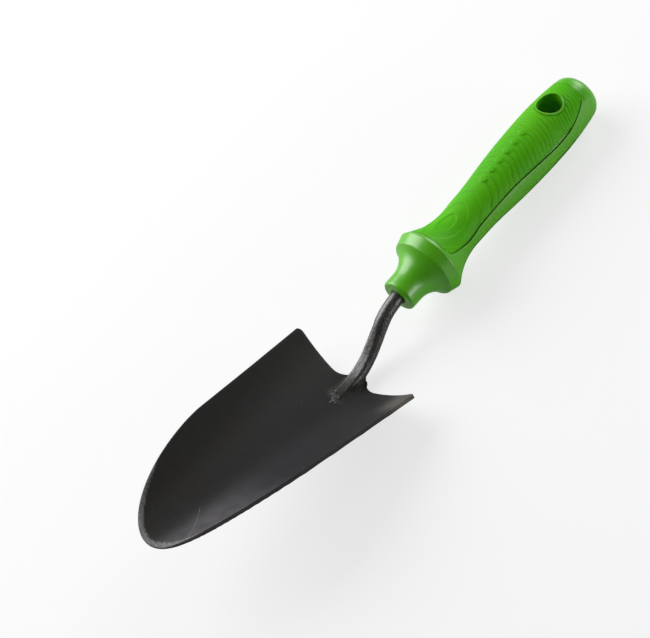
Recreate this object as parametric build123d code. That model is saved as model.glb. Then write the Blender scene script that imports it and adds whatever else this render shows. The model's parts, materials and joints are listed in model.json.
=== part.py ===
from build123d import *
import os
from math import acos, atan2, cos, degrees, hypot, radians, sin, sqrt

# Hand trowel: a pressed steel blade, a bent steel shank scarfed and welded onto it, and a moulded
# two-material handle. Millimetres throughout.
#
# The pieces are drawn in the tool frame: the handle axis is X, its nose face is at X = 0, the blade
# tip points to +X and the hollow side of the blade faces +Z. At the end all pieces are turned and
# lifted together, so that the trowel lies as it does on a bench, on its heel and its handle.

# ---- Driving dimensions -------------------------------------------------------------------------

# Handle profile. Stations are distances back from the nose face, along the axis.
handle_length = 140.8
nose_radius = 8.6
nose_length = 6.6
nose_lip_round = 1.4
flange_front_station = 18.6
flange_front_radius = 16.2
flange_back_station = 24.2
flange_radius = 17.8
flange_edge_round = 0.7
waist_station = 45.6
waist_length = 7.0
waist_radius = 11.25
swell_run = 14.7
belly_station = 108.8
belly_radius = 14.05
end_radius = 10.9
end_round = 7.0

# Hanging hole, and the collar of the hard body that lines it.
hang_hole_radius = 6.3
hang_hole_station = 118.6
collar_wall = 0.9
collar_stand = 0.35

# Soft grip inlays, one on the thumb side and one on the palm side.
inlay_front_station = 26.1
inlay_front_half_width = 12.9
inlay_front_round = 2.2
inlay_end_station = 132.2
inlay_end_half_width = 6.4
inlay_end_bulge = 0.6
inlay_shoulder_station = 126.0
inlay_shoulder_drop = 0.33
inlay_waist_share = 0.93
inlay_belly_share = 0.95
inlay_thickness = 2.5
inlay_gap = 0.22
inlay_front_slope = (-1.0, -0.16)
inlay_end_slope = (-0.25, -1.0)

# Shank: one round bar, with two bends outside the handle and a keyed tang inside it.
shank_diameter = 7.1
first_bend_station = 7.9
first_bend_radius = 22.6
second_bend_setback = 6.6
second_bend_radius = 27.0
shank_flat_share = 0.70
toe_station = 13.0
toe_slope = 38.0
tang_length = 62.0
tang_chamfer = 1.2
tang_key_depth = 0.9
tang_key_length = 22.0
tang_key_setback = 6.0
nose_hole_clearance = 0.6
nose_hole_depth = 4.0

# Blade: a sheet pressed to a trough. Its stations run forward from the rear edge.
sheet = 2.0
blade_length = 128.5
blade_rear_half_width = 36.0
shoulder_station = 62.7
shoulder_half_width = 31.7
shoulder_pull = 16.0
tip_pull = 21.0
rear_sweep = 4.6
rear_corner_round = 2.2
trough_rear_radius = 47.6
trough_tip_radius = 21.5
blade_pitch = 16.8
blade_seat_x = 41.6
blade_seat_z = -19.65
tongue_length = 6.4
tongue_half_width = 3.1
tongue_round = 9.0

# Weld beads round the shank's seat on the blade.
side_bead_radius = 1.7
end_bead_radius = 1.5
bead_lap = 0.35

# Working sizes of the blanks and cutters, which only have to reach past the pieces.
through = 4 * flange_radius
trough_sections = 5
trough_margin = 8.0
trough_depth = 24.0

# ---- Handle blank -------------------------------------------------------------------------------


def handle_blank():
    """The outside of the handle as one plain turned body, with no holes or recesses."""
    swell = belly_station - waist_station - waist_length
    inflection_radius = waist_radius + (belly_radius - waist_radius) * swell_run / swell
    waist_end = -(waist_station + waist_length)
    with BuildSketch() as half:
        with BuildLine():
            Line((0, 0), (0, nose_radius))
            Line((0, nose_radius), (-nose_length, nose_radius))
            flange_foot = (-flange_front_station, flange_front_radius)
            TangentArc((-nose_length, nose_radius), flange_foot, tangent=(-1, 0))
            Line(flange_foot, (-flange_back_station, flange_radius))
            waist = (-waist_station, waist_radius)
            TangentArc(waist, (-flange_back_station, flange_radius), tangent=(1, 0))
            Line(waist, (waist_end, waist_radius))
            inflection = (waist_end - swell_run, inflection_radius)
            TangentArc((waist_end, waist_radius), inflection, tangent=(-1, 0))
            belly = (-belly_station, belly_radius)
            TangentArc(belly, inflection, tangent=(1, 0))
            TangentArc(belly, (-handle_length, end_radius), tangent=(-1, 0))
            Line((-handle_length, end_radius), (-handle_length, 0))
            Line((-handle_length, 0), (0, 0))
        make_face()
        rounds = {
            (0, nose_radius): nose_lip_round,
            flange_foot: flange_edge_round,
            (-flange_back_station, flange_radius): flange_edge_round,
            (-handle_length, end_radius): end_round,
        }
        for corner, radius in rounds.items():
            fillet(half.vertices().sort_by_distance(corner)[0], radius)
    return revolve(half.sketch, Axis.X)


def inlay_outline(gap):
    """The inlay's outline seen along Z, with a gap all round, as one face in the XY plane."""
    waist_half = waist_radius * inlay_waist_share
    belly_half = belly_radius * inlay_belly_share
    shoulder_half = belly_half - (belly_half - inlay_end_half_width) * inlay_shoulder_drop
    side = [
        (gap - inlay_front_station, inlay_front_half_width + gap),
        (-waist_station - waist_length / 2, waist_half + gap),
        (-belly_station, belly_half + gap),
        (-inlay_shoulder_station - gap / 2, shoulder_half + gap),
        (-inlay_end_station - gap, inlay_end_half_width + gap),
    ]
    bulge = (-inlay_end_station - inlay_end_bulge - gap, 0)
    with BuildSketch() as outline:
        with BuildLine():
            Spline(side, tangents=[inlay_front_slope, inlay_end_slope])
            slopes = [(x, -y) for x, y in (inlay_front_slope, inlay_end_slope)]
            Spline([(x, -y) for x, y in side], tangents=slopes)
            Line(side[0], (side[0][0], -side[0][1]))
            ThreePointArc(side[-1], bulge, (side[-1][0], -side[-1][1]))
        make_face()
        fillet(outline.vertices().sort_by(Axis.X)[-2:], inlay_front_round + gap)
    return outline.sketch


def above_inlay_floor(blank, gap):
    """All space over the floor of the thumb-side recess, inside the inlay's outline and a gap."""
    floor = Pos(0, 0, -inlay_thickness) * blank
    return extrude(inlay_outline(gap), through) - floor


def hole_collar(blank):
    """The thumb-side half of the collar round the hanging hole, standing just proud of the handle."""
    ring = Cylinder(hang_hole_radius + collar_wall, through)
    return (Pos(0, 0, collar_stand) * blank) & (Pos(-hang_hole_station, 0, through / 2) * ring)


# ---- Blade --------------------------------------------------------------------------------------


def blade_seat():
    """The blade frame: X along the bottom of the trough, Z square to it, origin at the rear edge."""
    return Location((blade_seat_x, 0, blade_seat_z), (0, -blade_pitch, 0))


def trough_radius(station):
    """Radius of curvature along the bottom of the trough, which tightens towards the tip."""
    share = station / blade_length
    return trough_rear_radius + (trough_tip_radius - trough_rear_radius) * share


def under_trough():
    """Everything below the blade's hollow face: parabolic sections lofted along the blade."""
    reach = blade_rear_half_width + trough_margin
    first = -tongue_length - 2 * tongue_round
    last = blade_length + trough_margin
    sections = []
    for step in range(trough_sections):
        station = first + (last - first) * step / (trough_sections - 1)
        rise = reach**2 / (2 * trough_radius(station))
        with BuildSketch(Plane((station, 0, 0), x_dir=(0, 1, 0), z_dir=(1, 0, 0))) as section:
            with BuildLine():
                Bezier((-reach, rise), (0, -rise), (reach, rise))
                Polyline((reach, rise), (reach, -trough_depth), (-reach, -trough_depth), (-reach, rise))
            make_face()
        sections.append(section.sketch.face())
    return loft(sections)


def blade_outline():
    """Half outline from the tongue round the rear corner to the tip, mirrored and filled."""
    run = hypot(shoulder_station + rear_sweep, blade_rear_half_width - shoulder_half_width)
    along = (shoulder_station + rear_sweep) / run
    inward = (shoulder_half_width - blade_rear_half_width) / run
    shoulder = (shoulder_station, shoulder_half_width)
    pulled = (shoulder[0] + shoulder_pull * along, shoulder[1] + shoulder_pull * inward)
    tip = (blade_length, 0)
    corner = (-rear_sweep, blade_rear_half_width)
    root = (-rear_sweep * tongue_half_width / blade_rear_half_width, tongue_half_width)
    tongue_end = (-tongue_length - tongue_round, tongue_half_width)
    with BuildSketch() as outline:
        with BuildLine():
            Line((tongue_end[0], 0), tongue_end)
            Line(tongue_end, root)
            Line(root, corner)
            Line(corner, shoulder)
            Bezier(shoulder, pulled, (blade_length, tip_pull), tip)
            Line(tip, (tongue_end[0], 0))
        make_face()
        fillet(outline.vertices().sort_by_distance(corner)[0], rear_corner_round)
        fillet(outline.vertices().sort_by_distance(root)[0], tongue_round)
        mirror(about=Plane.XZ)
        with Locations((-tongue_length - tongue_round, 0)):
            Rectangle(2 * tongue_round, 4 * tongue_half_width, mode=Mode.SUBTRACT)
    return outline.sketch


def blade_sheet(trough):
    """The pressed sheet: the hollow face inside the outline, thickened square to itself."""
    prism = Pos(0, 0, -trough_depth) * extrude(blade_outline(), 4 * trough_depth)
    plug = trough & prism
    face = plug.faces().sort_by(Axis.Z)[-1]
    return Solid.thicken(face, -sheet)


# ---- Shank --------------------------------------------------------------------------------------


def seat_point(station, height):
    """A point on the middle plane, given in the blade frame, as (x, z) of the tool frame."""
    forward = (cos(radians(blade_pitch)), sin(radians(blade_pitch)))
    return Vector(
        blade_seat_x + station * forward[0] - height * forward[1],
        blade_seat_z + station * forward[1] + height * forward[0],
    )


def shank_bar():
    """The round bar along its bent centre line, with the hammered flat along its upper side."""
    radius = shank_diameter / 2
    first = Vector(first_bend_station, 0)
    second = seat_point(-second_bend_setback, 0)
    past_toe = seat_point(toe_station + 2 * shank_diameter, 0)
    bends = [first_bend_radius, second_bend_radius]
    route = Plane.XZ * FilletPolyline((-tang_length, 0), first, second, past_toe, radius=bends)
    bar = sweep(Plane((-tang_length, 0, 0), z_dir=(1, 0, 0)) * Circle(radius), route)
    bar = chamfer(bar.edges().sort_by(Axis.X)[0], tang_chamfer)

    slope = (second - first).normalized()
    square_to_slope = Vector(-slope.Y, slope.X)
    square_to_seat = Vector(-sin(radians(blade_pitch)), cos(radians(blade_pitch)))
    half_turn = -atan2(slope.Y, slope.X) / 2
    flat_height = radius * shank_flat_share
    bend_end = first + slope * (first_bend_radius * sin(half_turn) / cos(half_turn))
    flat_start = bend_end + square_to_slope * radius
    share = flat_height / (1 + square_to_slope.dot(square_to_seat))
    flat_corner = second + (square_to_slope + square_to_seat) * share
    flat_end = past_toe + square_to_seat * flat_height
    clear = square_to_seat * (4 * shank_diameter)
    with BuildSketch(Plane.XZ) as flat:
        with BuildLine():
            FilletPolyline(flat_start, flat_corner, flat_end, radius=second_bend_radius - flat_height)
            Polyline(flat_end, flat_end + clear, flat_start + clear, flat_start)
        make_face()
    return bar - extrude(flat.sketch, shank_diameter, both=True)


def scarfed_shank(trough):
    """The bar cut to lie on the blade, sloped off at its toe and keyed inside the handle."""
    radius = shank_diameter / 2
    slope = radians(toe_slope)
    toe_plane = Plane((toe_station, 0, 0), z_dir=(sin(slope), 0, cos(slope)))
    off_cut = extrude(toe_plane * Rectangle(12 * shank_diameter, 4 * shank_diameter), 6 * shank_diameter)
    shank = shank_bar() - blade_seat() * (off_cut + trough)
    key_middle = -tang_length + tang_key_setback + tang_key_length / 2
    for side in (-1, 1):
        key = Box(tang_key_length, shank_diameter, 2 * shank_diameter)
        shank -= Pos(key_middle, side * (radius - tang_key_depth + shank_diameter / 2), 0) * key
    return shank.solids().sort_by(SortBy.VOLUME)[-1]


# ---- Welds --------------------------------------------------------------------------------------


def bead(start, end, radius):
    """A run of weld metal with round ends, in the blade frame."""
    run = Vector(end) - Vector(start)
    core = extrude(Plane(start, z_dir=run) * Circle(radius), run.length)
    return core + Pos(start) * Sphere(radius) + Pos(end) * Sphere(radius)


def side_bead(side, trough, shank):
    """The bead along one side of the scarf, where the bar meets the blade's hollow face."""
    radius = shank_diameter / 2
    turn = radians(blade_pitch) - atan2(
        seat_point(-second_bend_setback, 0).Y, seat_point(-second_bend_setback, 0).X - first_bend_station
    )
    bend_end = -second_bend_setback + second_bend_radius * sin(turn / 2) / cos(turn / 2)
    start_station = -tongue_length / 2
    start_rise = (bend_end - start_station) ** 2 / (2 * second_bend_radius)
    start_edge = sqrt(radius**2 - start_rise**2)
    end_station = toe_station - 2 * side_bead_radius
    start = (start_station, side * (start_edge + bead_lap), bead_lap)
    end = (end_station, side * (radius + bead_lap / 2), bead_lap)
    return blade_seat() * (bead(start, end, side_bead_radius) - trough) - shank


def end_bead(station, height, half_width):
    """A bead laid across the blade at the shank's toe or at the tongue's end."""
    return blade_seat() * bead((station, -half_width, height), (station, half_width, height), end_bead_radius)


# ---- Pieces in the tool frame -------------------------------------------------------------------

trough = under_trough()
shank = scarfed_shank(trough)
blade = blade_seat() * blade_sheet(trough)
weld_left = side_bead(1, trough, shank)
weld_right = side_bead(-1, trough, shank)
across = shank_diameter / 2 - end_bead_radius / 2
weld_toe = end_bead(toe_station + bead_lap, 0, across)
weld_toe = weld_toe - blade_seat() * trough - shank - weld_left - weld_right
weld_heel = end_bead(-tongue_length - bead_lap, 0, tongue_half_width - end_bead_radius / 2)
weld_heel = weld_heel - blade - shank

blank = handle_blank()
hole_place = Pos(-hang_hole_station, 0, 0)
inlay_cut = hole_place * Cylinder(hang_hole_radius + collar_wall + inlay_gap, through)
inlay = (blank & above_inlay_floor(blank, 0)) - inlay_cut
recess = above_inlay_floor(blank, inlay_gap)
collar = hole_collar(blank)
nose_hole = Pos(-nose_hole_depth / 2, 0, 0) * Rot(0, 90, 0)
nose_hole *= Cylinder(shank_diameter / 2 + nose_hole_clearance, nose_hole_depth)
handle = blank - recess - mirror(recess, about=Plane.XY)
handle = handle + collar + mirror(collar, about=Plane.XY)
handle -= hole_place * Cylinder(hang_hole_radius, through)
handle = handle - shank - nose_hole

nodes = {
    "blade": blade,
    "shank": shank,
    "weld_bead_left": weld_left,
    "weld_bead_right": weld_right,
    "weld_bead_toe": weld_toe,
    "weld_bead_heel": weld_heel,
    "handle_body": handle,
    "grip_inlay_top": inlay,
    "grip_inlay_bottom": mirror(inlay, about=Plane.XY),
}

# ---- Lying on a bench ---------------------------------------------------------------------------

# The bench touches the heel of the blade and the long curve under the back of the handle.
heel = seat_point(-tongue_length, -sheet)
drop = belly_radius - end_radius
curve_radius = ((handle_length - belly_station) ** 2 + drop**2) / (2 * drop)
centre = Vector(-belly_station, curve_radius - belly_radius)
touch_radius = curve_radius + collar_stand - hang_hole_radius**2 / (2 * curve_radius)
reach = hypot(heel.X - centre.X, heel.Y - centre.Y)
lean = degrees(atan2(heel.X - centre.X, centre.Y - heel.Y) - acos(touch_radius / reach))
turned = {name: Rot(0, lean, 0) * piece for name, piece in nodes.items()}
box = Compound(children=[Compound(piece.solids()) for piece in turned.values()]).bounding_box()
shift = Pos(-(box.min.X + box.max.X) / 2, 0, -box.min.Z)

os.makedirs("parts", exist_ok=True)
for name, piece in turned.items():
    placed = shift * piece
    export_step(Compound(placed.solids(), label=name), f"parts/{name}.step")
    print(name, len(placed.solids()), round(placed.volume, 1), placed.bounding_box())
print("lean", lean)
print("hang hole", shift * Rot(0, lean, 0) * Pos(-hang_hole_station, 0, 0))
print("blade seat", shift * Rot(0, lean, 0) * blade_seat())
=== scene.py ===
import json
import math

import bmesh
import bpy
from mathutils import Matrix, Vector, noise
from mathutils.bvhtree import BVHTree


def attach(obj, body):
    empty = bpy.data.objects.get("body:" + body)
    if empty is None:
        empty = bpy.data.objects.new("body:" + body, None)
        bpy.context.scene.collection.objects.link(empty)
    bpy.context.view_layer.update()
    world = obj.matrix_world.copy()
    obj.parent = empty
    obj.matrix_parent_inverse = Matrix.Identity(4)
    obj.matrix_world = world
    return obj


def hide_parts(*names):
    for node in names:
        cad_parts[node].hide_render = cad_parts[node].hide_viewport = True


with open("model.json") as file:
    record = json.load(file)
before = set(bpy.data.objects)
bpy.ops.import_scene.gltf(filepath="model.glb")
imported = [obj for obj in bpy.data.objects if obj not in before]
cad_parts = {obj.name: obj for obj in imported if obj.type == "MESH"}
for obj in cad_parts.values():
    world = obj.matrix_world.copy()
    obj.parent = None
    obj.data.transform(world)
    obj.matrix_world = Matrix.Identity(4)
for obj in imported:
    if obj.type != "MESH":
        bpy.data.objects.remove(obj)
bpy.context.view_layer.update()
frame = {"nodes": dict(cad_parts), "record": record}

# ---- Camera, floor and lights -----------------------------------------------------------------
# A long lens looks down on the near side of the trowel, with the handle running up to the right.
# The floor is a plain pale table. A large softbox hangs to the left of the trowel, a narrow one
# to the right and a third behind.

scene = bpy.context.scene
scene.view_settings.view_transform = "Standard"
view_right = Vector((-0.61999, 0.72715, -0.29475))
view_up = Vector((-0.73918, -0.41532, 0.53021))
view_back = Vector((0.26313, 0.54659, 0.79498))
view_point = Vector((0.28230, 0.53165, 0.82819))


def stand(thing, place, right, upward, backward):
    """Puts a camera or lamp at a place, with its own X, Y and Z along three directions."""
    turn = Matrix((right, upward, backward)).transposed().to_4x4()
    thing.matrix_world = Matrix.Translation(place) @ turn
    scene.collection.objects.link(thing)


lens = bpy.data.cameras.new("camera")
lens.sensor_width = 36.0
lens.lens = 121.85
camera = bpy.data.objects.new("camera", lens)
stand(camera, view_point, view_right, view_up, view_back)
scene.camera = camera


def softbox(name, across, above, towards, width, height, power):
    """A rectangular area lamp placed by the camera's own directions and aimed at the trowel."""
    place = view_right * across + view_up * above + view_back * towards
    backward = place.normalized()
    right = view_up.cross(backward).normalized()
    lamp = bpy.data.lights.new(name, "AREA")
    lamp.shape = "RECTANGLE"
    lamp.size = width
    lamp.size_y = height
    lamp.energy = power
    stand(bpy.data.objects.new(name, lamp), place, right, backward.cross(right), backward)


softbox("key_softbox", across=-1.00, above=0.66, towards=0.05, width=1.1, height=1.3, power=25.0)
softbox("fill_softbox", across=0.95, above=-0.18, towards=0.56, width=0.3, height=1.0, power=7.5)
softbox("back_softbox", across=0.45, above=1.10, towards=0.00, width=0.9, height=0.5, power=6.0)


class Link:
    """An output socket of a shader node, so that sums and products read as arithmetic."""

    def __init__(self, socket):
        self.socket = socket

    def maths(self, operation, *terms):
        node = self.socket.id_data.nodes.new("ShaderNodeMath")
        node.operation = operation
        for slot, term in zip(node.inputs, terms):
            connect(slot, term)
        return Link(node.outputs[0])

    def __add__(self, other):
        return self.maths("ADD", self, other)

    def __sub__(self, other):
        return self.maths("SUBTRACT", self, other)

    def __rsub__(self, other):
        return self.maths("SUBTRACT", other, self)

    def __mul__(self, other):
        return self.maths("MULTIPLY", self, other)

    __radd__ = __add__
    __rmul__ = __mul__


def connect(slot, term):
    """Feeds a socket from a link, or sets it to a plain value."""
    if isinstance(term, Link):
        slot.id_data.links.new(term.socket, slot)
    else:
        slot.default_value = term


class Finish:
    """A node tree whose nodes are added one call at a time, by type, settings and inputs."""

    def __init__(self, owner):
        owner.use_nodes = True
        self.owner = owner
        self.tree = owner.node_tree

    def add(self, kind, output, settings=None, numbered=None, **inputs):
        """Adds a node and gives one of its outputs. Inputs go by name, with underscores for
        spaces, or by number on a node that gives several of them one name."""
        node = self.tree.nodes.new("ShaderNode" + kind)
        for name, value in (settings or {}).items():
            setattr(node, name, value)
        for number, term in (numbered or {}).items():
            connect(node.inputs[number], term)
        for name, term in inputs.items():
            connect(node.inputs[name.replace("_", " ")], term)
        return Link(node.outputs[output])

    def grain(self, size, detail=2.0, spot=None):
        """Noise with features about as large as the size, in metres."""
        spot = spot or self.add("TexCoord", "Object")
        return self.add("TexNoise", "Fac", Vector=spot, Scale=1.0 / size, Detail=detail)

    def band(self, value, low, high, start=0.0, end=1.0):
        """A value eased from start to end as it goes from low to high."""
        smooth = {"interpolation_type": "SMOOTHSTEP"}
        limits = {"From_Min": low, "From_Max": high, "To_Min": start, "To_Max": end}
        return self.add("MapRange", "Result", smooth, Value=value, **limits)

    def blend(self, share, first, second):
        """One colour turned into another by a share from 0 to 1."""
        return self.add("Mix", 2, {"data_type": "RGBA"}, {0: share, 6: first, 7: second})

    def surface(self, **inputs):
        """Sets the sockets of the material's own Principled shader."""
        shader = self.tree.nodes["Principled BSDF"]
        for name, term in inputs.items():
            connect(shader.inputs[name.replace("_", " ")], term)
        return self.owner


white = (1.0, 1.0, 1.0, 1.0)
dim_room = (0.07, 0.072, 0.075, 1.0)
world = Finish(bpy.data.worlds.new("studio"))
scene.world = world.owner
seen = world.add("LightPath", "Is Camera Ray")
connect(world.tree.nodes["Background"].inputs["Color"], world.blend(seen, dim_room, white))

# The table is paler to the lens than to the trowel, and keeps the trowel's shadow.
table_paint = (0.82, 0.82, 0.82, 1.0)
seen_share = 0.72
mirrored_share = 0.38
table = Finish(bpy.data.materials.new("table"))
seen = table.add("LightPath", "Is Camera Ray")
mirrored = table.add("LightPath", "Is Glossy Ray")
lit = table.add("BsdfDiffuse", "BSDF", Color=table_paint)
glow = table.add("Emission", "Emission", Color=white, Strength=seen)
share = seen * seen_share + mirrored * mirrored_share
mixed = table.add("MixShader", "Shader", numbered={0: share, 1: lit, 2: glow})
connect(table.tree.nodes["Material Output"].inputs["Surface"], mixed)
table.tree.nodes.remove(table.tree.nodes["Principled BSDF"])


def finished(name, mesh, material, smooth_angle=None):
    """An object at the origin from a bmesh, shaded smooth apart from edges over an angle."""
    bmesh.ops.recalc_face_normals(mesh, faces=mesh.faces)
    for face in mesh.faces:
        face.smooth = smooth_angle is not None
    if smooth_angle is not None:
        for edge in mesh.edges:
            edge.smooth = not edge.is_manifold or edge.calc_face_angle() < smooth_angle
    data = bpy.data.meshes.new(name)
    mesh.to_mesh(data)
    mesh.free()
    data.materials.append(material)
    thing = bpy.data.objects.new(name, data)
    scene.collection.objects.link(thing)
    return thing


floor_reach = 1.3
floor_mesh = bmesh.new()
bmesh.ops.create_grid(floor_mesh, x_segments=1, y_segments=1, size=floor_reach)
floor = finished("floor", floor_mesh, table.owner)

# ---- Handle body ------------------------------------------------------------------------------
# The hard core of the handle is injection moulded from glossy green polypropylene round the tang
# of the shank, with its nose cone, hand guard and the collar that lines the hanging hole.

hole = frame["record"]["mounts"][0]
hole_station = 118.6
upward = Vector(hole["axis"])
forward = Vector((0.0, 1.0, 0.0)).cross(upward)
nose_face = Vector(hole["pos_m"]) + forward * hole_station / 1000
handle_turn = Matrix((forward, (0.0, 1.0, 0.0), upward)).transposed().to_4x4()
# From here on, lengths are in millimetres back from the nose face, and this places them.
handle_place = Matrix.Translation(nose_face) @ handle_turn @ Matrix.Scale(0.001, 4)

leaf_green = (0.080, 0.400, 0.0008, 1.0)
fresh_green = (0.098, 0.420, 0.002, 1.0)
scuffed_green = (0.20, 0.50, 0.05, 1.0)
moulded = Finish(bpy.data.materials.new("moulded_green"))
cloud = moulded.grain(0.030, detail=1.0)
flow = moulded.grain(0.004, detail=4.0)
scuff = moulded.grain(0.0011, detail=3.0)
pores = moulded.grain(0.00045, detail=1.0)
green = moulded.blend(moulded.band(cloud, 0.3, 0.7), leaf_green, fresh_green)
green = moulded.blend(moulded.band(scuff, 0.66, 0.74, 0.0, 0.12), green, scuffed_green)
skin = moulded.add("Bump", "Normal", Height=pores, Strength=0.10, Distance=0.00006)
moulded.surface(
    Base_Color=green,
    Roughness=0.27 + flow * 0.14,
    Normal=skin,
    Specular_IOR_Level=0.75,
    Subsurface_Weight=0.04,
    Subsurface_Scale=0.004,
)
body = frame["nodes"]["handle_body"]
body.data.materials.clear()
body.data.materials.append(moulded.owner)

# ---- Grip inlays ------------------------------------------------------------------------------
# Two soft rubber panels are moulded into shallow recesses on the thumb side and the palm side.
# Their faces step down in rings to a thumb rest, and wavy cross grooves run on from there to the
# end, with a row of round pips along the middle.

inlay_front = 26.1
inlay_end = 132.8
end_bulge = 0.6
end_half_width = 6.4
inlay_rows = 400
inlay_columns = 56
# The handle's outside is turned: a pair is a station and the radius there, except for the waist,
# which keeps its radius between two stations.
waist = (45.6, 52.6)
waist_radius = 11.25
guard_back = (24.2, 17.8)
belly = (108.8, 14.05)
swell_run = 14.7
tail = (140.8, 10.9)


def arc_rise(run, full_run, full_rise):
    """Rise at a run along an arc that starts level and has risen by full_rise at full_run."""
    radius = (full_run**2 + full_rise**2) / (2 * full_rise)
    return radius - math.sqrt(radius**2 - run**2)


def handle_radius(station):
    """Radius of the turned outside of the handle at a station behind the nose face."""
    growth = belly[1] - waist_radius
    middle = growth * swell_run / (belly[0] - waist[1])
    if station < waist[0]:
        flare = guard_back[1] - waist_radius
        return waist_radius + arc_rise(waist[0] - station, waist[0] - guard_back[0], flare)
    if station < waist[1]:
        return waist_radius
    if station < waist[1] + swell_run:
        return waist_radius + arc_rise(station - waist[1], swell_run, middle)
    if station < belly[0]:
        return belly[1] - arc_rise(belly[0] - station, belly[0] - waist[1] - swell_run, growth - middle)
    return belly[1] - arc_rise(station - belly[0], tail[0] - belly[0], belly[1] - tail[1])


def ease(value, low, high):
    """0 below low, 1 above high and a smooth rise between."""
    share = min(max((value - low) / (high - low), 0.0), 1.0)
    return share * share * (3 - 2 * share)


thumb_station = 39.5
thumb_rings = (6.2, 13.2, 20.6)
ring_squash = 1.75
ring_drop = 0.34
step_width = 0.34
groove_start = 26.0
groove_squash = 2.0
groove_pitch = 4.2
groove_crowding = 21.0
groove_depth = 0.40
groove_share = 0.19
groove_fade = 2.0
groove_clear = (0.8, 3.4)
pip_radius = 2.1
pip_flat = 0.74
pip_height = 0.5
pip_stations = [68.0 + 6.0 * count for count in range(6)]


def relief(station, across):
    """Height of the moulded face over the plain panel, and how deep in a groove the place is."""
    back = station - thumb_station
    out = math.hypot(back, ring_squash * across)
    height = 0.0
    for ring in thumb_rings:
        height += ring_drop * (ease(out, ring - step_width, ring + step_width) - 1)
    wave = noise.noise((station / 9.0, across / 5.0, 3.0))
    wave += 0.4 * noise.noise((station / 3.0, across / 2.2, 8.0))
    run = math.hypot(back, groove_squash * across) - groove_start + wave
    groove = 0.0
    if run > 0 and back > 0:
        # The grooves crowd together towards the end, and each is deep and shallow by turns.
        count = run / groove_pitch + (run / groove_crowding) ** 2
        share = abs(count % 1.0 - 0.5) / groove_share
        groove = 1 - ease(share, 0.0, 1.0)
        groove *= ease(run, 0.0, groove_fade)
        groove *= ease(abs(across), *groove_clear)
        groove *= 0.55 + 0.45 * noise.noise((station / 7.0, across / 6.0, 12.0))
        height -= groove_depth * groove
    for pip in pip_stations:
        spread = math.hypot(station - pip, across) / pip_radius
        height += pip_height * (1 - ease(spread, pip_flat, 1.0))
    return height, groove


skin_depth = 1.5
# The plan of a panel is found by rays from outside the handle, which run across it this far
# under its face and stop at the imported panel's own edge.
ray_start = 25.0
ray_depth = 1.1
edge_gap = 0.02
ends_gap = 0.03
row_crowding = 0.035
edge_roll = 0.5
palm_roll = 5.0
joint_shade = 0.8


def inlay_mesh(side, node):
    """One panel: a fine grid over the recess, raised by the relief and given its thickness."""
    around = bpy.context.evaluated_depsgraph_get()
    walls = BVHTree.FromObject(frame["nodes"][node], around)
    to_side = Vector((0.0, -1.0, 0.0))

    def half_width(station):
        width = 0.8 * handle_radius(station)
        for _ in range(3):
            level = math.sqrt(max(handle_radius(station) ** 2 - width**2, 0.0)) - ray_depth
            start = handle_place @ Vector((-station, ray_start, side * level))
            hit = walls.ray_cast(start, to_side)[0]
            width = hit.y * 1000 if hit else width
        return width

    mesh = bmesh.new()
    bmesh.ops.create_grid(mesh, x_segments=inlay_rows, y_segments=inlay_columns, size=1.0)
    shade = mesh.verts.layers.float.new("groove")
    widths = {}
    for vertex in mesh.verts:
        lengthwise = 0.5 + vertex.co.x / 2
        share = lengthwise - row_crowding * math.sin(2 * math.pi * lengthwise)
        station = inlay_front + edge_gap + (inlay_end - inlay_front - ends_gap) * share
        key = round(vertex.co.x, 6)
        if key not in widths:
            widths[key] = max(half_width(station) - edge_gap, 0.05)
        across = vertex.co.y * widths[key]
        level = math.sqrt(handle_radius(station) ** 2 - across**2)
        normal = Vector((0.0, across, level)).normalized()
        tail_gap = inlay_end - end_bulge * (across / end_half_width) ** 2 - station
        end_gap = min(station - inlay_front, tail_gap)
        side_gap = widths[key] - abs(across)
        lift, groove = relief(station, across)
        lift *= ease(side_gap, 0.0, edge_roll if side > 0 else palm_roll) * ease(end_gap, 0.0, edge_roll)
        # The groove attribute holds painted shade: darker in the grooves and in a thin band along the
        # panel's joint with the body.
        at_joint = 1 - ease(min(side_gap, 2 * end_gap), 0.0, 0.30)
        vertex[shade] = max(groove * ease(side_gap, 0.0, 1.5), at_joint * joint_shade)
        spot = Vector((-station, across, level)) + normal * lift
        vertex.co = Vector((spot.x, spot.y, side * spot.z))
    top = mesh.faces[:]
    made = bmesh.ops.extrude_face_region(mesh, geom=top, use_keep_orig=True)
    for vertex in made["geom"]:
        if isinstance(vertex, bmesh.types.BMVert):
            inward = Vector((0.0, vertex.co.y, vertex.co.z)).normalized()
            vertex.co -= inward * skin_depth
    bmesh.ops.transform(mesh, matrix=handle_place, verts=mesh.verts)
    return mesh


rubber_green = (0.066, 0.385, 0.0006, 1.0)
warm_green = (0.082, 0.405, 0.001, 1.0)
dusty_green = (0.16, 0.46, 0.04, 1.0)
groove_shade_green = (0.020, 0.130, 0.0006, 1.0)
rubber = Finish(bpy.data.materials.new("inlay_rubber"))
cloud = rubber.grain(0.022, detail=1.0)
speck = rubber.grain(0.0007, detail=3.0)
pores = rubber.grain(0.0003, detail=2.0)
bloom = rubber.grain(0.003, detail=3.0)
green = rubber.blend(rubber.band(cloud, 0.3, 0.7), rubber_green, warm_green)
green = rubber.blend(rubber.band(speck, 0.64, 0.74, 0.0, 0.12), green, dusty_green)
# Painted shade darkens the rubber in the grooves and along its joint with the body.
groove = rubber.add("Attribute", "Fac", {"attribute_name": "groove"})
green = rubber.blend(groove * 0.52, green, groove_shade_green)
skin = rubber.add("Bump", "Normal", Height=pores, Strength=0.22, Distance=0.00008)
rubber.surface(
    Base_Color=green,
    Roughness=0.42 + bloom * 0.18,
    Normal=skin,
    Specular_IOR_Level=0.13,
    Subsurface_Weight=0.03,
    Subsurface_Scale=0.003,
)

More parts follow.
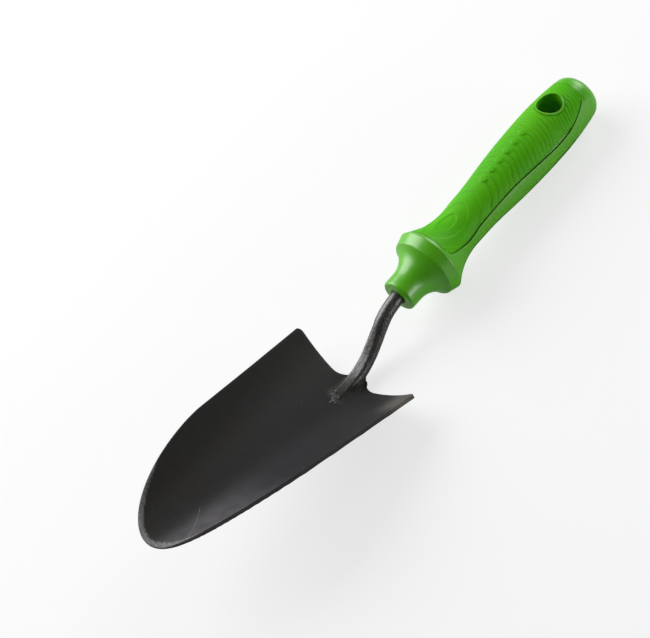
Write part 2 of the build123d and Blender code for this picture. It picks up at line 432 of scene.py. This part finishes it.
hole_clear = 7.42
drill_depth = 40.0
for side, node in ((1, "grip_inlay_top"), (-1, "grip_inlay_bottom")):
    panel = finished(node + "_relief", inlay_mesh(side, node), rubber.owner, math.radians(40))
    drill_mesh = bmesh.new()
    round_bar = {"segments": 96, "radius1": hole_clear, "radius2": hole_clear, "depth": drill_depth}
    bmesh.ops.create_cone(drill_mesh, cap_ends=True, **round_bar)
    middle = Matrix.Translation((-hole_station, 0.0, 0.0))
    bmesh.ops.transform(drill_mesh, matrix=handle_place @ middle, verts=drill_mesh.verts)
    drill = finished("hole_drill", drill_mesh, rubber.owner)
    cut = panel.modifiers.new("hole", "BOOLEAN")
    cut.object = drill
    cut.operation = "DIFFERENCE"
    cut.solver = "EXACT"
    bpy.context.view_layer.update()
    around = bpy.context.evaluated_depsgraph_get()
    cut_data = bpy.data.meshes.new_from_object(panel.evaluated_get(around))
    panel.modifiers.clear()
    panel.data = cut_data
    bpy.data.objects.remove(drill)
    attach(panel, "root")
    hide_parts(node)

# ---- Blade ------------------------------------------------------------------------------------
# The blade is pressed from 2 mm sheet steel into a trough that tightens towards its round point.
# Its rim is sheared square, ground to a bevel round the point, and coated satin black all over.

blade_length = 128.5
rear_half_width = 36.0
shoulder = Vector((62.7, 31.7))
shoulder_pull = 16.0
tip_pull = 21.0
rear_sweep = 4.6
corner_round = 2.2
tongue_end = -6.4
tongue_half = 3.1
tongue_round = 9.0
sheet = 2.0
trough_radii = (47.6, 21.5)
blade_seat = (41.6, 0.0, -19.65)
blade_droop = math.radians(16.8)
blade_place = handle_place @ Matrix.Translation(blade_seat) @ Matrix.Rotation(-blade_droop, 4, "Y")
flank_steps = 48


def arc(centre, radius, start, end, steps):
    """Points of an arc about a centre between two angles in degrees."""
    turns = [math.radians(start + (end - start) * step / steps) for step in range(steps + 1)]
    lengthwise = [centre[0] + radius * math.cos(turn) for turn in turns]
    sideways = [centre[1] + radius * math.sin(turn) for turn in turns]
    return [Vector(point) for point in zip(lengthwise, sideways)]


def half_outline():
    """Left half of the outline in plan, from the tongue round the rear corner to the tip."""
    lean = math.degrees(math.atan2(rear_sweep, rear_half_width))
    flare = math.degrees(math.atan2(rear_half_width - shoulder.y, shoulder.x + rear_sweep))
    root_y = tongue_half + tongue_round
    rear_run = math.hypot(rear_half_width, rear_sweep)
    root_x = -(tongue_round * rear_run + rear_sweep * root_y) / rear_half_width
    root = (root_x, root_y)
    cut_turn = -math.degrees(math.acos((tongue_end - root_x) / tongue_round))
    points = arc(root, tongue_round, cut_turn, lean, 10)
    rear = Vector((math.sin(math.radians(lean)), -math.cos(math.radians(lean))))
    side = Vector((math.cos(math.radians(flare)), -math.sin(math.radians(flare))))
    corner = Vector((-rear_sweep, rear_half_width))
    half = (rear + side).normalized()
    centre = corner + half * corner_round / math.sin(rear.angle(side) / 2)
    points += arc(centre, corner_round, 180 + lean, 90 - flare, 8)
    # The flank is one Bezier curve from the shoulder to the tip.
    shoulder_handle = shoulder + side * shoulder_pull
    tip = Vector((blade_length, 0.0))
    tip_handle = Vector((blade_length, tip_pull))
    for step in range(flank_steps + 1):
        share = step / flank_steps
        ends = shoulder * (1 - share) ** 3 + tip * share**3
        first_pull = shoulder_handle * 3 * share * (1 - share) ** 2
        points.append(ends + (first_pull + tip_handle * 3 * share**2 * (1 - share)))
    return points


def trough(x, y):
    """Height and unit normal of the blade's hollow face at a place in plan."""
    radius = trough_radii[0] + (trough_radii[1] - trough_radii[0]) * x / blade_length
    return y * y / (2 * radius), Vector((0.0, -y / radius, 1.0)).normalized()


def sliced(mesh, place, direction, **options):
    """Cuts a mesh along a plane through a place and gives back the edges of the cut."""
    everything = mesh.verts[:] + mesh.edges[:] + mesh.faces[:]
    cut = bmesh.ops.bisect_plane(mesh, geom=everything, plane_co=place, plane_no=direction, **options)
    return [item for item in cut["geom_cut"] if isinstance(item, bmesh.types.BMEdge)]


first_ring = 0.30
next_ring = 0.35
next_rings = 6
cell = 1.1
first_cut = 0.31
blade_mesh = bmesh.new()
left = half_outline()
ring = left + [Vector((point.x, -point.y)) for point in reversed(left[:-1])]
corners = [blade_mesh.verts.new((point.x, point.y, 0.0)) for point in ring]
blade_mesh.faces.new(corners)
for width in [first_ring] + [next_ring] * next_rings:
    inner = max(blade_mesh.faces, key=lambda face: face.calc_area())
    bmesh.ops.inset_region(blade_mesh, faces=[inner], thickness=width, use_even_offset=True)
for count in range(math.ceil((blade_length - tongue_end) / cell)):
    sliced(blade_mesh, (tongue_end + first_cut + count * cell, 0, 0), (1, 0, 0), dist=0.001)
for count in range(-math.floor(rear_half_width / cell), math.ceil(rear_half_width / cell)):
    sliced(blade_mesh, (0, (count + 0.5) * cell, 0), (0, 1, 0), dist=0.001)
rim_points = [Vector((point.x, point.y)) for point in ring]


def rim_distance(x, y):
    """Distance in plan from a place to the nearest stretch of the outline."""
    nearest = blade_length
    for first, second in zip(rim_points, rim_points[1:]):
        along = second - first
        offset = Vector((x, y)) - first
        share = min(max(offset.dot(along) / along.length_squared, 0.0), 1.0)
        nearest = min(nearest, (offset - along * share).length)
    return nearest


# The edges are broken a little all round, and the bevel starts nearer the point on the left.
upper_break = 0.16
lower_break = 0.22
break_width = 0.31
ground_start = 96.0
ground_full = 124.0
ground_lag = 14.0
ground_depth = 0.75
ground_widths = (0.3, 1.75)
wear = blade_mesh.verts.layers.float.new("rim_wear")
top = blade_mesh.faces[:]
made = bmesh.ops.extrude_face_region(blade_mesh, geom=top, use_keep_orig=True)
lower = {item for item in made["geom"] if isinstance(item, bmesh.types.BMVert)}
for vertex in blade_mesh.verts:
    x, y = vertex.co.x, vertex.co.y
    rise, normal = trough(x, y)
    gap = rim_distance(x, y)
    at_rim = 1 - ease(gap, 0.0, break_width)
    ground = ease(x - ground_lag * ease(y, 4.0, 14.0), ground_start, ground_full)
    ground_width = ground_widths[0] + ground_widths[1] * ground**1.5
    if vertex in lower:
        depth = sheet - lower_break * at_rim
    else:
        depth = upper_break * at_rim + ground * ground_depth * max(1 - gap / ground_width, 0.0)
        bared = 1 - ease(gap, ground_width - 0.1, ground_width + 0.3)
        vertex[wear] = ease(ground, 0.0, 0.12) * bared
    vertex.co = Vector((x, y, rise)) - normal * depth
plan = blade_mesh.loops.layers.uv.new("plan")
for face in blade_mesh.faces:
    for loop in face.loops:
        loop[plan].uv = (loop.vert.co.x / 1000, loop.vert.co.y / 1000)
bmesh.ops.transform(blade_mesh, matrix=blade_place, verts=blade_mesh.verts)

warm_black = (0.0098, 0.0082, 0.0055, 1.0)
cool_black = (0.0100, 0.0098, 0.0122, 1.0)
rubbed_black = (0.014, 0.013, 0.013, 1.0)
sheen_grey = (0.070, 0.066, 0.071, 1.0)
dust_grey = (0.09, 0.09, 0.088, 1.0)
tan_grey = (0.105, 0.092, 0.080, 1.0)
scratch_grey = (0.22, 0.21, 0.205, 1.0)
dark_steel = (0.060, 0.058, 0.058, 1.0)
bright_steel = (0.170, 0.163, 0.160, 1.0)
coat = Finish(bpy.data.materials.new("satin_black_coat"))
stain = coat.grain(0.045, detail=3.0)
mottle = coat.grain(0.006, detail=5.0)
grit = coat.grain(0.00042, detail=2.0)
spark = coat.grain(0.00075, detail=1.0)
worn = coat.add("Attribute", "Fac", {"attribute_name": "rim_wear"})
flat = coat.add("UVMap", "UV", {"uv_map": "plan"})
along = coat.add("SeparateXYZ", "X", Vector=flat)
across = coat.add("SeparateXYZ", "Y", Vector=flat)
# The near wing turns a cooler black and the far wing a warmer one, a painted reflection of the lamps
# across the blade, mixed with a random stain.
sheen_and_stain_tint = coat.band(across, -0.016, 0.014) * 0.6 + coat.band(stain, 0.35, 0.65) * 0.4
black = coat.blend(sheen_and_stain_tint, warm_black, cool_black)
black = coat.blend(coat.band(mottle, 0.45, 0.75, 0.0, 0.5), black, rubbed_black)
# A patchy painted highlight lies on the near side of the point, and a dull tan bloom lies on the rear
# corner.
patchy = coat.band(mottle, 0.2, 0.6, 0.5, 1.0)
painted_sheen = coat.band(across, 0.000, 0.013) * coat.band(along, 0.062, 0.108) * patchy
black = coat.blend(painted_sheen * 0.9, black, sheen_grey)
black = coat.blend(coat.band(spark, 0.71, 0.77, 0.0, 0.30), black, dust_grey)
bloom = coat.band(across, 0.022, 0.031) * coat.band(along, 0.016, 0.004) * patchy
black = coat.blend(bloom * 0.75, black, tan_grey)
# A curved scratch crosses the point, and fine hairs run over the same side.
scratch_start = (0.0998, 0.0025)
scratch_slope = 0.80
scratch_bend = 9.0
run = along - scratch_start[0]
off_line = across - scratch_start[1] - run * scratch_slope + run * run * scratch_bend
stroke = coat.band(off_line * off_line, 0.0, 2.6e-8, 1.0, 0.0)
stroke = stroke * coat.band(run, -0.0005, 0.001) * coat.band(run, 0.023, 0.020)
stroke = stroke * coat.band(coat.grain(0.0011), 0.35, 0.55, 0.25, 0.9)
brushed = coat.add("Mapping", "Vector", Vector=flat, Rotation=(0, 0, 0.9), Scale=(1, 9, 1))
hairs = coat.band(coat.grain(0.0022, spot=brushed), 0.68, 0.74)
hairs = hairs * coat.band(across, 0.008, 0.014) * 0.45
black = coat.blend(stroke + hairs, black, scratch_grey)
steel = coat.blend(coat.band(grit, 0.35, 0.65), dark_steel, bright_steel)
black = coat.blend(worn * coat.band(mottle, 0.25, 0.55, 0.65, 1.0), black, steel)
height = grit + mottle * 0.4 - stroke * 0.8
texture = coat.add("Bump", "Normal", Height=height, Strength=0.35, Distance=0.00006)
coat.surface(
    Base_Color=black,
    Roughness=0.44 + mottle * 0.16 - bloom * 0.06,
    Metallic=worn * 0.3,
    Normal=texture,
    Specular_IOR_Level=0.24,
)
blade = finished("blade_pressing", blade_mesh, coat.owner, math.radians(32))
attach(blade, "root")
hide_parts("blade")

# ---- Shank ------------------------------------------------------------------------------------
# The shank is 7 mm round bar, bent twice, hammered to a flat on top and drawn out thin where it
# lies on the blade. Its coarse black coat sits in fine grains, sooty by the weld.


def reskinned(name, mesh, cell):
    """A mesh of closed shells merged into one skin of even cells, given back as a bmesh."""
    rough = finished(name, mesh, coat.owner)
    skin = rough.modifiers.new("skin", "REMESH")
    skin.mode = "VOXEL"
    skin.voxel_size = cell
    bpy.context.view_layer.update()
    around = bpy.context.evaluated_depsgraph_get()
    data = bpy.data.meshes.new_from_object(rough.evaluated_get(around))
    bpy.data.objects.remove(rough)
    even = bmesh.new()
    even.from_mesh(data)
    bpy.data.meshes.remove(data)
    return even


def melt(mesh, rounds, chosen):
    """Smooths the chosen vertices a number of times, which rounds edges and fills corners."""
    axes = {"use_axis_x": True, "use_axis_y": True, "use_axis_z": True}
    for _ in range(rounds):
        bmesh.ops.smooth_vert(mesh, verts=chosen, factor=0.5, **axes)


def roughen(mesh, size, amount, seed, shrink=0.0):
    """Moves each vertex along its normal by noise of a size and amount, both in millimetres."""
    mesh.normal_update()
    moves = []
    for vertex in mesh.verts:
        spot = vertex.co * 1000 / size + Vector((seed, seed, seed))
        moves.append(vertex.normal * (amount * noise.noise(spot) - shrink) / 1000)
    for vertex, move in zip(mesh.verts, moves):
        vertex.co += move


toe_cut = 11.4
toe_draw = 0.48
soot_run = (-8.0, 4.0)
bar_cell = 0.00034
to_blade = blade_place.inverted()


def forge(mesh):
    """Draws the part of a mesh that lies on the blade down to a thin toe, in blade coordinates."""
    for vertex in mesh.verts:
        if vertex.co.x > 0.0:
            rise = trough(vertex.co.x, vertex.co.y)[0]
            drawn = 1 - toe_draw * ease(vertex.co.x, 0.0, toe_cut)
            if vertex.co.z > rise:
                vertex.co.z = rise + (vertex.co.z - rise) * drawn


def trim(mesh, place, direction):
    """Cuts off what lies beyond a plane and closes the mesh over the cut."""
    rim = sliced(mesh, place, direction, dist=0.0001, clear_outer=True)
    if rim:
        bmesh.ops.edgenet_fill(mesh, edges=rim)


def merged(node):
    """A copy of a CAD node's mesh with its loose triangles joined."""
    copy = bmesh.new()
    copy.from_mesh(frame["nodes"][node].data)
    bmesh.ops.remove_doubles(copy, verts=copy.verts, dist=1e-6)
    return copy


bar = reskinned("rough_bar", merged("shank"), bar_cell)
melt(bar, 3, bar.verts[:])
bmesh.ops.transform(bar, matrix=to_blade, verts=bar.verts)
forge(bar)
sooty = bar.verts.layers.float.new("soot")
for vertex in bar.verts:
    vertex[sooty] = ease(vertex.co.x, *soot_run)
trim(bar, (toe_cut, 0.0, 0.0), (1.0, 0.0, 0.0))
bmesh.ops.transform(bar, matrix=blade_place, verts=bar.verts)
melt(bar, 8, [vertex for vertex in bar.verts if vertex[sooty] > 0.9])
roughen(bar, size=6.5, amount=0.16, seed=2.0)
roughen(bar, size=1.1, amount=0.06, seed=7.0)

bar_black = (0.012, 0.0118, 0.0115, 1.0)
bar_brown = (0.022, 0.0175, 0.0145, 1.0)
grain_grey = (0.27, 0.258, 0.246, 1.0)
soot_black = (0.0100, 0.0088, 0.0076, 1.0)
bar_coat = Finish(bpy.data.materials.new("coarse_black_coat"))
mottle = bar_coat.grain(0.004, detail=4.0)
peel = bar_coat.grain(0.0009, detail=3.0)
grit = bar_coat.grain(0.0004, detail=1.0)
black = bar_coat.blend(bar_coat.band(mottle, 0.35, 0.65), bar_black, bar_brown)
black = bar_coat.blend(bar_coat.band(grit, 0.54, 0.66, 0.0, 0.6), black, grain_grey)
soot = bar_coat.add("Attribute", "Fac", {"attribute_name": "soot"})
black = bar_coat.blend(soot * 0.9, black, soot_black)
height = peel + grit * 0.5
texture = bar_coat.add("Bump", "Normal", Height=height, Strength=0.6, Distance=0.00016)
bar_coat.surface(
    Base_Color=black,
    Roughness=0.36 + peel * 0.2,
    Coat_Weight=(1 - soot) * 0.9,
    Coat_Roughness=0.30,
    Normal=texture,
    Specular_IOR_Level=0.30,
)
shank = finished("shank_bar", bar, bar_coat.owner, math.radians(80))
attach(shank, "root")
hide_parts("shank")

# ---- Welds ------------------------------------------------------------------------------------
# Weld metal runs along both sides of the shank's seat and round its heel, and fills the corners
# in smooth fillets under the black coat. At the toe only a few ragged drops of it show.


def cropped(node, low, high):
    """A closed copy of a CAD node cut square in the blade frame to between two corners."""
    piece = merged(node)
    bmesh.ops.transform(piece, matrix=to_blade, verts=piece.verts)
    for axis in range(2):
        for limit, outward in ((low[axis], -1.0), (high[axis], 1.0)):
            direction = Vector((0.0, 0.0, 0.0))
            direction[axis] = outward
            point = Vector((0.0, 0.0, 0.0))
            point[axis] = limit
            trim(piece, point, direction)
    return piece


# The fillets grow out of one skin over the beads and the metal next to them. The blade's share
# is sunk a little, so that the skin stays under the blade's own face away from the beads.
joint_cell = 0.0004
blade_sink = 0.10
whole_bead = ((-20.0, -20.0), (30.0, 20.0))
joint = bmesh.new()
for node, (low, high), sink in (
    ("blade", ((-6.0, -13.0), (24.0, 13.0)), blade_sink),
    ("shank", ((-13.0, -9.0), (toe_cut, 9.0)), 0.0),
    ("weld_bead_left", whole_bead, 0.0),
    ("weld_bead_right", whole_bead, 0.0),
    ("weld_bead_heel", whole_bead, 0.0),
):
    piece = cropped(node, low, high)
    if node != "blade":
        forge(piece)
    bmesh.ops.translate(piece, vec=(0.0, 0.0, -sink), verts=piece.verts)
    bmesh.ops.transform(piece, matrix=blade_place, verts=piece.verts)
    part = bpy.data.meshes.new("part")
    piece.to_mesh(part)
    piece.free()
    joint.from_mesh(part)
    bpy.data.meshes.remove(part)
joint = reskinned("rough_joint", joint, joint_cell)
melt(joint, 90, joint.verts[:])
roughen(joint, size=4.0, amount=0.08, seed=4.0, shrink=0.04)

weld_black = (0.0085, 0.0075, 0.0065, 1.0)
weld_brown = (0.0130, 0.0115, 0.0100, 1.0)
crumb_grey = (0.34, 0.33, 0.32, 1.0)
weld_coat = Finish(bpy.data.materials.new("weld_black_coat"))
mottle = weld_coat.grain(0.004, detail=4.0)
peel = weld_coat.grain(0.0008, detail=3.0)
black = weld_coat.blend(weld_coat.band(mottle, 0.35, 0.65), weld_black, weld_brown)
crumb = weld_coat.add("Attribute", "Fac", {"attribute_name": "crumb"})
black = weld_coat.blend(crumb * weld_coat.band(peel, 0.35, 0.6, 0.3, 0.9), black, crumb_grey)
texture = weld_coat.add("Bump", "Normal", Height=peel, Strength=0.4, Distance=0.00010)
weld_coat.surface(
    Base_Color=black,
    Roughness=0.46 + mottle * 0.14,
    Normal=texture,
    Specular_IOR_Level=0.26,
)
weld = finished("weld_fillets", joint, weld_coat.owner, math.radians(80))
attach(weld, "root")
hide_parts("weld_bead_left", "weld_bead_right", "weld_bead_heel")

# Each drop is a place along the blade, a place off its middle and a radius. Those behind the end
# of the toe sit up on its slope.
drop_cell = 0.00012
drop_lift = 0.25
toe_slope = 0.55
drop_stretch = Matrix.Diagonal((1.3, 1.0, 0.9, 1.0))
drops = (
    (8.6, -1.7, 0.34),
    (9.5, -1.4, 0.30),
    (10.4, -1.1, 0.34),
    (11.3, -0.7, 0.36),
    (12.2, -0.2, 0.42),
    (13.2, 0.0, 0.36),
    (14.3, 0.1, 0.30),
    (12.6, 0.9, 0.38),
    (13.0, 1.8, 0.34),
    (13.4, 2.5, 0.30),
)
spatter = bmesh.new()
for along_blade, off_middle, radius in drops:
    rise = trough(along_blade, off_middle)[0]
    lift = radius * drop_lift + max(toe_cut - along_blade, 0.0) * toe_slope
    blob = Matrix.Translation((along_blade, off_middle, rise + lift)) @ drop_stretch
    bmesh.ops.create_icosphere(spatter, subdivisions=3, radius=radius, matrix=blade_place @ blob)
spatter = reskinned("rough_spatter", spatter, drop_cell)
melt(spatter, 4, spatter.verts[:])
roughen(spatter, size=0.9, amount=0.45, seed=5.0)
crumbly = spatter.verts.layers.float.new("crumb")
for vertex in spatter.verts:
    vertex[crumbly] = 1.0
toe_weld = finished("toe_weld", spatter, weld_coat.owner, math.radians(80))
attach(toe_weld, "root")
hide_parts("weld_bead_toe")
